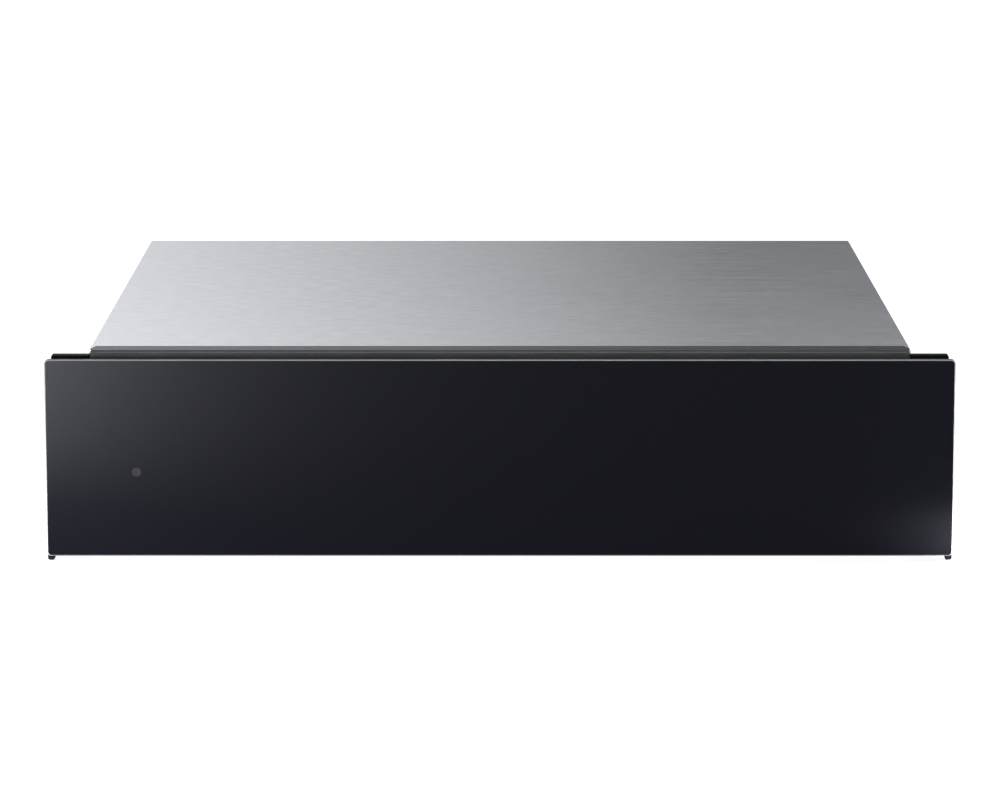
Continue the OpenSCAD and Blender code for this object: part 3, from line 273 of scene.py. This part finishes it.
WOOL_LOW, WOOL_HIGH = (-225.5, 84.5, 15.2), (225.5, 396.5, 33.1)
KNOB_X, KNOB_DEPTH = -199.95, 46.4
DISH_FLOOR_Z = 116.8
GROOVE_FLOOR_Z = 126.9
COLLAR_DEPTH, LATCH_END_DEPTH = 529, 541.5

LEFT_AND_RIGHT = (-1, 1)
BACKWARDS = (0, 1, 0)


def at(x, depth, z):
    """A place in mm, as listed above, as a point in metres in the shared frame."""
    return Vector((x, depth - HALF_DEPTH, z)) * MM


def in_edit_mode(piece):
    bpy.context.view_layer.objects.active = piece
    if piece.mode != "EDIT":
        bpy.ops.object.mode_set(mode="EDIT")


def leave_edit_mode(piece):
    if piece.mode == "EDIT":
        bpy.ops.object.mode_set(mode="OBJECT")


def choose(piece, kind, fits):
    """Selects the faces, edges or corners whose middle and normal, or run for an edge, fit."""
    in_edit_mode(piece)
    bpy.ops.mesh.select_mode(type=kind)
    bpy.ops.mesh.select_all(action="DESELECT")
    shape = bmesh.from_edit_mesh(piece.data)
    if kind == "FACE":
        for face in shape.faces:
            face.select_set(fits(face.calc_center_median(), face.normal))
    elif kind == "EDGE":
        for edge in shape.edges:
            start, end = edge.verts[0].co, edge.verts[1].co
            edge.select_set(fits((start + end) / 2, start - end))
    else:
        for corner in shape.verts:
            corner.select_set(fits(corner.co, corner.normal))
    shape.select_flush_mode()
    bmesh.update_edit_mesh(piece.data)


def step(inset=0.0, rise=0.0, way=(0, 0, 1)):
    """Insets the selected faces, then draws them out along a direction."""
    if inset:
        bpy.ops.mesh.inset(thickness=inset, depth=0)
    if rise:
        bpy.ops.mesh.extrude_region_move(TRANSFORM_OT_translate={"value": Vector(way) * rise})


def round_blank(name, radius, low, high, sides=32):
    """A round bar on the Z axis, the start of a turned piece."""
    bpy.ops.object.select_all(action="DESELECT")
    bpy.ops.mesh.primitive_cylinder_add(vertices=sides, radius=radius, depth=high - low,
                                        location=(0, 0, (low + high) / 2))
    return named(name)


def box_blank(name, low, high):
    """A bar between two corners."""
    bpy.ops.object.select_all(action="DESELECT")
    low, high = Vector(low), Vector(high)
    bpy.ops.mesh.primitive_cube_add(size=1, location=(low + high) / 2, scale=high - low)
    return named(name)


def named(name):
    """The piece just added, with its place put into its mesh."""
    piece = bpy.context.object
    piece.name = piece.data.name = name
    bpy.ops.object.transform_apply(location=True, rotation=True, scale=True)
    return piece


def use_modifier(piece, kind, **settings):
    """Adds a modifier and applies it."""
    leave_edit_mode(piece)
    bpy.context.view_layer.objects.active = piece
    made = piece.modifiers.new(kind.lower(), kind)
    for label, value in settings.items():
        setattr(made, label, value)
    bpy.ops.object.modifier_apply(modifier=made.name)


def smooth(piece, degrees=35):
    leave_edit_mode(piece)
    bpy.ops.object.select_all(action="DESELECT")
    piece.select_set(True)
    bpy.context.view_layer.objects.active = piece
    bpy.ops.object.shade_smooth_by_angle(angle=math.radians(degrees))


def discard(piece):
    mesh = piece.data
    bpy.data.objects.remove(piece)
    bpy.data.meshes.remove(mesh)


def fit(piece, slot, body, *nodes):
    """Gives a finished piece its finish and lets it ride on its body in place of the CAD node."""
    leave_edit_mode(piece)
    piece.data.materials.clear()
    piece.data.materials.append(finishes[slot])
    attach(piece, body)
    if nodes:
        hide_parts(*nodes)


def set_out(master, stem, places, slot, body, node):
    """Copies a turned piece to its places. A place is a point and the way that its head faces."""
    for number, (point, way) in enumerate(places, 1):
        copy = master.copy()
        copy.data = master.data.copy()
        copy.name = copy.data.name = f"{stem}_{number}"
        turn = Vector((0, 0, 1)).rotation_difference(Vector(way)).to_matrix().to_4x4()
        copy.data.transform(Matrix.Translation(point) @ turn)
        scene.collection.objects.link(copy)
        fit(copy, slot, body, node)


def cross_recess(reach, depth, top):
    """The cutter for a cross recess: a square rod with four wings, narrower at its foot."""
    half = 0.35 * MM
    cutter = box_blank("cross_cutter", (-half, -half, top - depth), (half, half, top + MM))
    for way in ((1, 0, 0), (-1, 0, 0), (0, 1, 0), (0, -1, 0)):
        choose(cutter, "FACE", lambda middle, normal: normal.dot(Vector(way)) > 0.9
               and middle.dot(Vector(way)) < 1.1 * half)
        step(rise=reach - half, way=way)
    choose(cutter, "VERT", lambda place, normal: place.z < top)
    bpy.ops.transform.resize(value=(0.6, 0.6, 1), center_override=(0, 0, top - depth))
    leave_edit_mode(cutter)
    return cutter


def pan_head_screw(name, head_r, head_h, shank_r, length):
    """A screw with a domed head on Z = 0, a cross recess, a rolled thread and a dog point."""
    screw = round_blank(name, head_r, 0, head_h)
    choose(screw, "EDGE", lambda middle, run: middle.z > 0.99 * head_h)
    bpy.ops.mesh.bevel(offset=0.62 * head_h, segments=4, affect="EDGES")
    choose(screw, "FACE", lambda middle, normal: normal.z < -0.9)
    step(inset=head_r - shank_r, rise=0.8 * MM, way=(0, 0, -1))
    pitch = 0.9 * MM
    turns = int((length - 1.6 * MM) / pitch)
    for _ in range(turns):
        step(inset=0.12 * shank_r)
        step(rise=0.3 * pitch, way=(0, 0, -1))
        bpy.ops.transform.resize(value=(1.13, 1.13, 1))
        step(rise=0.7 * pitch, way=(0, 0, -1))
    step(inset=0.3 * shank_r, rise=0.8 * MM, way=(0, 0, -1))
    leave_edit_mode(screw)
    cutter = cross_recess(0.6 * head_r, 0.6 * head_h, head_h)
    use_modifier(screw, "BOOLEAN", object=cutter, operation="DIFFERENCE", solver="EXACT")
    discard(cutter)
    smooth(screw)
    return screw


def dome_rivet(name, head_r, head_h, body_r, length):
    """A blind rivet: a domed head on Z = 0 with the hole of its pin, and its body below."""
    rivet = round_blank(name, head_r, 0, head_h, sides=24)
    choose(rivet, "EDGE", lambda middle, run: middle.z > 0.99 * head_h)
    bpy.ops.mesh.bevel(offset=0.7 * head_h, segments=3, affect="EDGES")
    choose(rivet, "FACE", lambda middle, normal: normal.z > 0.99 and middle.xy.length < 0.2 * head_r)
    bpy.ops.mesh.inset(thickness=0.45 * (head_r - head_h), depth=0)
    step(inset=0.1 * MM, rise=-0.5 * head_h)
    choose(rivet, "FACE", lambda middle, normal: normal.z < -0.9)
    step(inset=head_r - body_r, rise=length - 0.3 * MM, way=(0, 0, -1))
    step(inset=0.3 * MM, rise=0.3 * MM, way=(0, 0, -1))
    smooth(rivet)
    return rivet


def fit_casing_screws():
    """Pan-head screws in the cover's hems, along the rear panel and in the ears of the latch."""
    cover = [(at(s * CASING_HALF, depth, COVER_SCREW_Z), (s, 0, 0))
             for s in LEFT_AND_RIGHT for depth in COVER_SCREW_DEPTHS]
    rear = [(at(s * REAR_SCREW_X, REAR_OUT, z), BACKWARDS) for s in LEFT_AND_RIGHT for z in REAR_SCREW_Z]
    ears = [(at(s * LATCH_EAR_X, REAR_OUT, SLIDE_Z), BACKWARDS) for s in LEFT_AND_RIGHT]
    pan = [(at(share * SIDE_IN, PAN_OUT, PAN_SCREW_Z), BACKWARDS) for share in PAN_SCREW_SHARES]
    screw = pan_head_screw("casing_screw", head_r=3.2 * MM, head_h=1.8 * MM, shank_r=1.5 * MM, length=7 * MM)
    set_out(screw, "casing_screw", cover + rear + ears + pan, "polished_steel", "casing", "casing_screws")
    discard(screw)


def fit_drawer_screws():
    """Screws that hold the front on the drawer, and two small ones in the indicator's board."""
    front = [(at(s * BOSS_X, SHELL_FRONT_IN, z), BACKWARDS) for s in LEFT_AND_RIGHT for z in BOSS_Z]
    screw = pan_head_screw("drawer_screw", head_r=3.2 * MM, head_h=1.8 * MM, shank_r=1.5 * MM, length=8 * MM)
    set_out(screw, "drawer_screw", front, "polished_steel", "drawer", "drawer_screws")
    discard(screw)
    board = [(at(LIGHT_X, BOARD_BACK, z), BACKWARDS) for z in BOARD_SCREW_Z]
    screw = pan_head_screw("board_screw", head_r=2.4 * MM, head_h=1.2 * MM, shank_r=1.0 * MM, length=6.6 * MM)
    set_out(screw, "board_screw", board, "polished_steel", "drawer", "drawer_screws")
    discard(screw)


def fit_rivets():
    """Blind rivets through the fixed rails and through the drawer's rails."""
    outside = [(at(s * SIDE_OUT, depth, SLIDE_Z), (s, 0, 0)) for s in LEFT_AND_RIGHT for depth in RIVET_DEPTHS]
    rivet = dome_rivet("casing_rivet", head_r=4 * MM, head_h=0.8 * MM, body_r=2.2 * MM, length=1.8 * MM)
    set_out(rivet, "casing_rivet", outside, "zinc_plated_rail", "casing", "casing_rivets")
    discard(rivet)
    inside = [(at(s * SHELL_IN, depth, SLIDE_Z), (-s, 0, 0)) for s in LEFT_AND_RIGHT for depth in RIVET_DEPTHS]
    rivet = dome_rivet("drawer_rivet", head_r=4 * MM, head_h=1.0 * MM, body_r=2.2 * MM, length=2.0 * MM)
    set_out(rivet, "drawer_rivet", inside, "zinc_plated_rail", "drawer", "drawer_rivets")
    discard(rivet)


def fit_feet():
    """Flat rubber feet with a rounded edge, a ring groove in the sole and the well of their screw."""
    foot = round_blank("foot", 13 * MM, 0, 3 * MM, sides=48)
    choose(foot, "FACE", lambda middle, normal: normal.z > 0.9)
    bpy.ops.transform.resize(value=(0.85, 0.85, 1))
    choose(foot, "FACE", lambda middle, normal: normal.z < -0.9)
    step(inset=3 * MM)
    step(inset=0.4 * MM, rise=0.7 * MM)
    step(inset=1.4 * MM)
    step(inset=0.4 * MM, rise=-0.7 * MM)
    step(inset=2.4 * MM)
    step(inset=0.5 * MM, rise=1.6 * MM)
    choose(foot, "EDGE", lambda middle, run: middle.xy.length > 12.6 * MM and middle.z < 0.1 * MM)
    bpy.ops.mesh.bevel(offset=0.7 * MM, segments=4, affect="EDGES")
    smooth(foot)
    places = [(at(s * FOOT_X, depth, 0), (0, 0, 1)) for s in LEFT_AND_RIGHT for depth in FOOT_DEPTHS]
    set_out(foot, "foot", places, "black_rubber", "casing", "feet")
    discard(foot)


def lay_mat():
    """The silicone mat on the tub's floor: rows of round holes with small studs between them."""
    pitch, across, deep, thick = 28 * MM, 15, 9, 2 * MM
    middle = at(0, TUB_MIDDLE, TUB_FLOOR_Z)
    half = Vector((213.95, 147.5)) * MM
    corner_r, hole_r, stud_r = 20 * MM, 6 * MM, 2.2 * MM
    bpy.ops.object.select_all(action="DESELECT")
    bpy.ops.mesh.primitive_plane_add(size=pitch)
    mat = named("silicone_mat")
    in_edit_mode(mat)
    bpy.ops.mesh.subdivide(number_cuts=3)
    choose(mat, "VERT", lambda place, normal: max(abs(place.x), abs(place.y)) < 0.45 * pitch)
    bpy.ops.mesh.delete(type="VERT")
    bpy.ops.mesh.primitive_circle_add(vertices=16, radius=hole_r)
    bpy.ops.mesh.select_all(action="SELECT")
    bpy.ops.mesh.bridge_edge_loops()
    bpy.ops.mesh.normals_make_consistent(inside=False)
    in_rows(mat, pitch, across, deep, merge=True)
    reach = Vector((across, deep)) * pitch / 2
    choose(mat, "EDGE", lambda place, run: abs(place.x) > reach.x - MM or abs(place.y) > reach.y - MM)
    bpy.ops.mesh.extrude_region_move()
    bpy.ops.transform.resize(value=(half.x / reach.x, half.y / reach.y, 1), center_override=(0, 0, 0))
    outline = bmesh.from_edit_mesh(mat.data)
    turn = half - Vector((corner_r, corner_r))
    for vertex in outline.verts:
        beyond = Vector((abs(vertex.co.x), abs(vertex.co.y))) - turn
        if beyond.x > 0 and beyond.y > 0 and vertex.select:
            rounded = turn + beyond.normalized() * corner_r
            vertex.co.x, vertex.co.y = (math.copysign(r, v) for r, v in zip(rounded, vertex.co.xy))
    bmesh.update_edit_mesh(mat.data)
    use_modifier(mat, "SOLIDIFY", thickness=thick, offset=1)
    use_modifier(mat, "BEVEL", width=0.45 * MM, segments=2, limit_method="ANGLE")
    stud = round_blank("stud", stud_r, thick - 0.1 * MM, thick + 0.5 * MM, sides=12)
    choose(stud, "EDGE", lambda place, run: place.z > thick + 0.4 * MM)
    bpy.ops.mesh.bevel(offset=0.3 * MM, segments=2, affect="EDGES")
    in_rows(stud, pitch, across - 1, deep - 1)
    join(mat, stud)
    mat.data.transform(Matrix.Translation(middle))
    smooth(mat)
    fit(mat, "grey_silicone", "drawer", "anti_slip_mat")


def in_rows(piece, pitch, across, deep, merge=False):
    """Repeats a piece over a field that is centred on the Z axis."""
    for count, way in ((across, (pitch, 0, 0)), (deep, (0, pitch, 0))):
        use_modifier(piece, "ARRAY", count=count, use_relative_offset=False, use_constant_offset=True,
                     constant_offset_displace=way, use_merge_vertices=merge, merge_threshold=0.01 * MM)
    piece.data.transform(Matrix.Translation((-(across - 1) * pitch / 2, -(deep - 1) * pitch / 2, 0)))


def join(piece, *others):
    """Joins pieces into the first."""
    for each in (piece, *others):
        leave_edit_mode(each)
    bpy.ops.object.select_all(action="DESELECT")
    for each in (piece, *others):
        each.select_set(True)
    bpy.context.view_layer.objects.active = piece
    bpy.ops.object.join()


def lay_insulation():
    """The mineral wool slab under the tub, soft at its edges, with a hole round the thermal cut-out."""
    wool = box_blank("wool_slab", at(*WOOL_LOW), at(*WOOL_HIGH))
    hole = round_blank("wool_hole", radius=10.4 * MM, low=0, high=50 * MM)
    hole.data.transform(Matrix.Translation(at(0, TUB_MIDDLE, 0)))
    use_modifier(wool, "BOOLEAN", object=hole, operation="DIFFERENCE", solver="EXACT")
    discard(hole)
    use_modifier(wool, "REMESH", mode="VOXEL", voxel_size=4 * MM)
    use_modifier(wool, "SMOOTH", factor=0.5, iterations=2)
    tufts = bpy.data.textures.new("wool_tufts", "CLOUDS")
    tufts.noise_scale = 0.014
    use_modifier(wool, "DISPLACE", texture=tufts, strength=1.6 * MM, mid_level=1.0)
    smooth(wool, 180)
    fit(wool, "mineral_wool", "drawer", "insulation")


SCALE_R = 19
FIGURE_H, PRINT_H = 3.6, 0.06
TICK_CORNER = Vector((0.25, 0.9, PRINT_H))
POSITIONS = {0: "0", 60: "1", 120: "2", 180: "3", 240: "4"}


def print_dial_scale():
    """Plain numbers and ticks round the knob, on the floor of its dish, clockwise from the back."""
    marks = []
    for angle in range(0, 241, 30):
        turned = math.radians(angle)
        place = at(KNOB_X + SCALE_R * math.sin(turned), KNOB_DEPTH + SCALE_R * math.cos(turned), DISH_FLOOR_Z)
        bpy.ops.object.select_all(action="DESELECT")
        if angle in POSITIONS:
            bpy.ops.object.text_add()
            number = bpy.context.object.data
            number.body, number.size, number.extrude = POSITIONS[angle], FIGURE_H * MM, PRINT_H * MM
            number.align_x = number.align_y = "CENTER"
            bpy.ops.object.convert(target="MESH")
            mark = named("mark")
        else:
            mark = box_blank("mark", -TICK_CORNER * MM, TICK_CORNER * MM)
            choose(mark, "EDGE", lambda middle, run: abs(run.z) > 0.9 * run.length)
            bpy.ops.mesh.bevel(offset=0.12 * MM, segments=2, affect="EDGES")
            leave_edit_mode(mark)
            mark.data.transform(Matrix.Rotation(-turned, 4, "Z"))
        mark.data.transform(Matrix.Translation(place))
        marks.append(mark)
    scale = marks[0]
    join(*marks)
    scale.name = scale.data.name = "dial_scale"
    fit(scale, "white_plastic", "drawer")


def fit_knob_pointer():
    """The white line let into the knob's groove."""
    half_wide, start, end, top = 0.6, 5.3, 12.9, 127.25
    pointer = box_blank("knob_pointer", at(KNOB_X - half_wide, KNOB_DEPTH + start, GROOVE_FLOOR_Z),
                        at(KNOB_X + half_wide, KNOB_DEPTH + end, top))
    choose(pointer, "EDGE", lambda middle, run: middle.z > (top - 0.05) * MM)
    bpy.ops.mesh.bevel(offset=0.15 * MM, segments=2, affect="EDGES")
    smooth(pointer)
    fit(pointer, "white_plastic", "knob")


def wind_latch_spring():
    """The latch's spring, a wound wire that stretches from the housing's end to the plunger's collar."""
    turns, coil_r, wire_r = 7, 6.2 * MM, 0.5 * MM
    collar, housing_end = at(0, COLLAR_DEPTH, SLIDE_Z), at(0, LATCH_END_DEPTH, SLIDE_Z)
    play = wire_r + 0.05 * MM
    length = housing_end.y - collar.y - 2 * play
    bpy.ops.object.select_all(action="DESELECT")
    bpy.ops.mesh.primitive_circle_add(vertices=10, radius=wire_r, location=(coil_r, 0, 0),
                                      rotation=(math.pi / 2, 0, 0))
    spring = named("coil_spring")
    use_modifier(spring, "SCREW", axis="Z", angle=2 * math.pi, screw_offset=length / turns, iterations=turns,
                 steps=24, render_steps=24)
    in_edit_mode(spring)
    bpy.ops.mesh.select_all(action="SELECT")
    bpy.ops.mesh.fill_holes(sides=0)
    bpy.ops.mesh.normals_make_consistent(inside=False)
    leave_edit_mode(spring)
    lie_down = Matrix.Rotation(-math.pi / 2, 4, "X")
    spring.data.transform(Matrix.Translation(collar + Vector((0, play, 0))) @ lie_down)
    smooth(spring, 60)
    spring.data.materials.clear()
    spring.data.materials.append(finishes["polished_steel"])
    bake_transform(spring)
    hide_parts("latch_spring")


fit_casing_screws()
fit_drawer_screws()
fit_rivets()
fit_feet()
lay_mat()
lay_insulation()
print_dial_scale()
fit_knob_pointer()
wind_latch_spring()


# Camera, floor and light -----------------------------------------------------------------------------

CAMERA_PLACE = (0.00008, -3.1842, 0.6036)
CAMERA_DIP = math.radians(9.655)
CAMERA_LENS = 162.66
SENSOR_WIDTH = 36.0
FLOOR_SIDE = 80.0


def make_camera():
    """The photo's camera, fitted to the object's edges in the photo."""
    lens = bpy.data.cameras.new("photo_camera")
    lens.lens = CAMERA_LENS
    lens.sensor_width = SENSOR_WIDTH
    lens.sensor_fit = "HORIZONTAL"
    lens.clip_end = 200.0
    camera = bpy.data.objects.new("photo_camera", lens)
    camera.location = CAMERA_PLACE
    camera.rotation_euler = (math.pi / 2 - CAMERA_DIP, 0, 0)
    scene.collection.objects.link(camera)
    scene.camera = camera


def make_floor():
    """A pale floor that glows just enough to be white to the camera."""
    bpy.ops.mesh.primitive_plane_add(size=FLOOR_SIDE, location=(0, 0, 0))
    floor = bpy.context.object
    floor.name = "studio_floor"
    floor.data.materials.append(surface("pale_floor", (0.14, 0.14, 0.14), (0.16, 0.16, 0.16), (0.85, 0.95),
                                        (0.4, 0.4, 0.4), Specular_IOR_Level=0.1,
                                        Emission_Color=(1, 1, 1, 1), Emission_Strength=0.93))


def make_light(name, kind, place, target, power, **settings):
    """A light in watts (for a sun in watts per square metre) that the camera itself doesn't see."""
    lamp = bpy.data.lights.new(name, kind)
    lamp.energy = power
    for label, value in settings.items():
        setattr(lamp, label, value)
    light = bpy.data.objects.new(name, lamp)
    light.location = place
    light.rotation_euler = (Vector(target) - Vector(place)).to_track_quat("-Z", "Y").to_euler()
    light.visible_camera = False
    scene.collection.objects.link(light)


CEILING = (0.5, 0.508, 0.525, 1)
ROOM = (0.35, 0.355, 0.365, 1)
WHITE = (1, 1, 1, 1)
WALL_LEFT = (1.0, 1.015, 1.04)
WALL_RIGHT = (0.12, 0.122, 0.126)


def mixed(tree, amount, first, second):
    """The first colour at an amount of 0, the second at 1. Each is a colour or a link."""
    amount_in, first_in, second_in, colour_out = 0, 6, 7, 2    # its sockets for colours share their names
    mix = add_node(tree, "Mix", data_type="RGBA")
    feed(tree, mix.inputs[amount_in], amount)
    feed(tree, mix.inputs[first_in], first)
    feed(tree, mix.inputs[second_in], second)
    return mix.outputs[colour_out]


def make_studio_room():
    """A grey room with a lighter ceiling. The wall behind the object runs from bright on the left to dark
    on the right. The camera itself sees white."""
    room = bpy.data.worlds.new("studio")
    room.use_nodes = True
    scene.world = room
    tree = room.node_tree
    way = add_node(tree, "SeparateXYZ", vector=add_node(tree, "TexCoord").outputs["Generated"])
    fall = add_node(tree, "MapRange", value=way.outputs["X"], from_min=-0.095, from_max=0.05)
    wall = tone(tree, fall.outputs["Result"], WALL_LEFT, WALL_RIGHT)
    behind = add_node(tree, "MapRange", value=way.outputs["Y"], from_min=0.0, from_max=0.5).outputs["Result"]
    high = add_node(tree, "MapRange", value=way.outputs["Z"], from_min=0.3, from_max=0.6).outputs["Result"]
    lit = mixed(tree, high, mixed(tree, behind, ROOM, wall), CEILING)
    seen = mixed(tree, add_node(tree, "LightPath").outputs["Is Camera Ray"], lit, WHITE)
    tree.links.new(seen, tree.nodes["Background"].inputs["Color"])


def make_studio_light():
    """An overhead sun, a soft light behind, and two strips whose pools on the floor show in the glass."""
    make_light("overhead", "SUN", (-0.1, -1.7, 2.4), (0, 0, 0), 5.0, angle=math.radians(25))
    make_light("softbox_behind", "AREA", (0, 0.45, 0.38), (0, -0.25, 0.14), 0.2,
               shape="RECTANGLE", size=1.0, size_y=0.1)
    make_light("strip_front_left", "AREA", (-0.49, -1.6, 0.2), (-0.49, -1.6, 0), 320.0,
               shape="RECTANGLE", size=0.1, size_y=2.0, spread=math.radians(158))
    make_light("strip_right", "AREA", (0.36, -0.36, 0.07), (0.36, -0.36, 0), 6.2,
               shape="RECTANGLE", size=0.04, size_y=0.16, spread=math.radians(125))


make_camera()
make_floor()
make_studio_room()
make_studio_light()
scene.view_settings.view_transform = "Standard"
